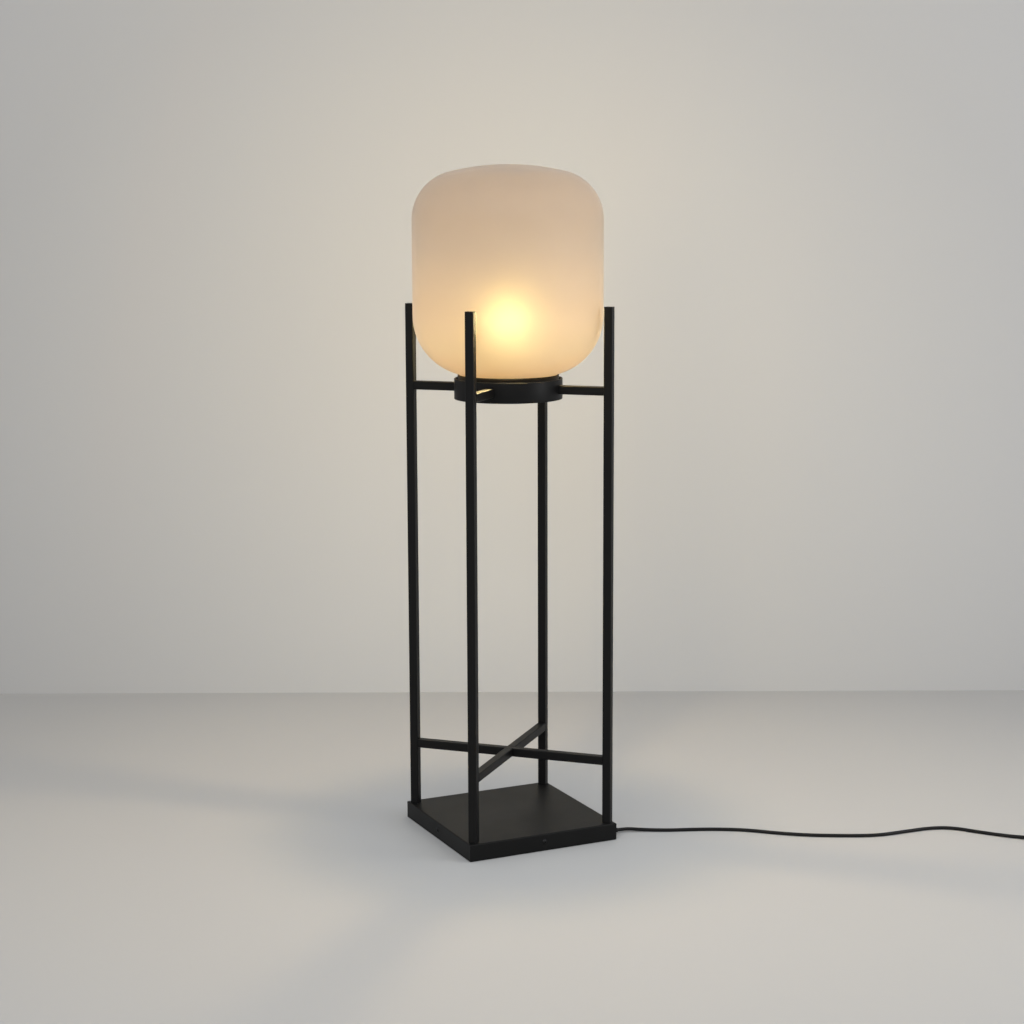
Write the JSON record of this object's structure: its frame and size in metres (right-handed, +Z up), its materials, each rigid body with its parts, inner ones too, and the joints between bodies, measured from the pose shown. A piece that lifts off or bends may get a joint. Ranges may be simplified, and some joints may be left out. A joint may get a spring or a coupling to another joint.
{
  "type": "lantern floor lamp",
  "caption": "Floor lamp: a square weighted base, corner posts of square tube, a low cross brace and a ring that carries a rounded opal glass shade over a screw bulb.",
  "frame": {"origin": "on the floor, under the centre of the square base", "axes": "+Z up along the lamp's axis; -Y is the front; +X is to the right, towards the cord's exit"},
  "size_m": [1.1885, 0.7704, 1.2505],
  "materials": {
    "bare_steel": "mill finish",
    "black_button": "semi-gloss",
    "black_flex": "smooth, semi-matt",
    "black_glass_insulator": "glassy",
    "black_powder_coat": "satin black powder coat",
    "black_rubber": "matt",
    "black_screws": "black oxide, satin",
    "black_thermoplastic": "fine satin",
    "brass_contact": "polished",
    "clear_glass": "clear",
    "glowing_filament": "warm, glowing when lit",
    "grey_sleeving": "matt",
    "nickel_pins": "bright nickel",
    "opal_glass": "opal white, satin outside",
    "plated_shell": "bright rolled metal",
    "soft_pad": "matt",
    "white_insulator": "matt",
    "zinc_plated_steel": "bright zinc plating"
  },
  "bodies": {
    "frame": {"arm_back_left": "black_powder_coat", "arm_back_right": "black_powder_coat", "arm_front_left": "black_powder_coat", "arm_front_right": "black_powder_coat", "ballast_plate": "bare_steel", "base_cover": "black_powder_coat", "base_pan": "black_powder_coat", "brace_back_right": "black_powder_coat", "brace_front_left": "black_powder_coat", "brace_long": "black_powder_coat", "bridge_bar": "black_powder_coat", "centre_contact": "brass_contact", "clamp_screws": "zinc_plated_steel", "clinch_nuts": "zinc_plated_steel", "coil_tie": "black_rubber", "cord_clamp": "black_thermoplastic", "cord_coil": "black_flex", "cord_grommet": "black_rubber", "cord_to_coil": "black_flex", "cord_to_plug": "black_flex", "cord_to_switch": "black_flex", "foot_pads": "soft_pad", "holder_washer": "zinc_plated_steel", "inlet_flex": "black_flex", "inner_lead": "grey_sleeving", "lampholder_cap": "black_thermoplastic", "lampholder_core": "white_insulator", "lampholder_sleeve": "black_thermoplastic", "nipple_nuts": "zinc_plated_steel", "nipples": "zinc_plated_steel", "plug_body": "black_rubber", "plug_pins": "nickel_pins", "post_back_left": "black_powder_coat", "post_back_right": "black_powder_coat", "post_bolts": "zinc_plated_steel", "post_end_caps": "black_powder_coat", "post_foot_plugs": "bare_steel", "post_front_left": "black_powder_coat", "post_front_right": "black_powder_coat", "post_washers": "zinc_plated_steel", "ring_band": "black_powder_coat", "screw_shell": "plated_shell", "seat_cup": "black_powder_coat", "seat_gasket": "soft_pad", "skirt_screws": "black_screws", "switch_base": "black_thermoplastic", "switch_block": "white_insulator", "switch_cover": "black_thermoplastic", "switch_reliefs": "black_rubber", "terminal_block": "white_insulator", "terminal_screws": "brass_contact"},
    "shade": {"glass_shade": "opal_glass"},
    "bulb_travel": {"bulb_tip": "brass_contact"},
    "bulb": {"bulb_glass": "clear_glass", "bulb_cap": "plated_shell", "bulb_insulator": "black_glass_insulator", "bulb_stem": "clear_glass", "bulb_filaments": "glowing_filament"},
    "button": {"switch_button": "black_button"}
  },
  "joints": [
    {"name": "shade_lift", "type": "slide", "parent": "frame", "child": "shade", "axis": [0, 0, 1], "range_m": [0, 0.16]},
    {"name": "bulb_rise", "type": "slide", "parent": "frame", "child": "bulb_travel", "axis": [0, 0, 1], "range_m": [0, 0.0109]},
    {"name": "bulb_turn", "type": "hinge", "parent": "bulb_travel", "child": "bulb", "pos_m": [0, 0, 0.9], "axis": [0, 0, 1], "range_deg": [0, 1080]},
    {"name": "button_press", "type": "slide", "parent": "frame", "child": "button", "axis": [0, 0, -1], "range_m": [0, 0.0035], "stiffness_N_per_m": 800, "springref_m": -0.001}
  ],
  "couplings": [
    {"joint": "bulb_rise", "follows": "bulb_turn", "m_per_rad": 0.00057773}
  ]
}
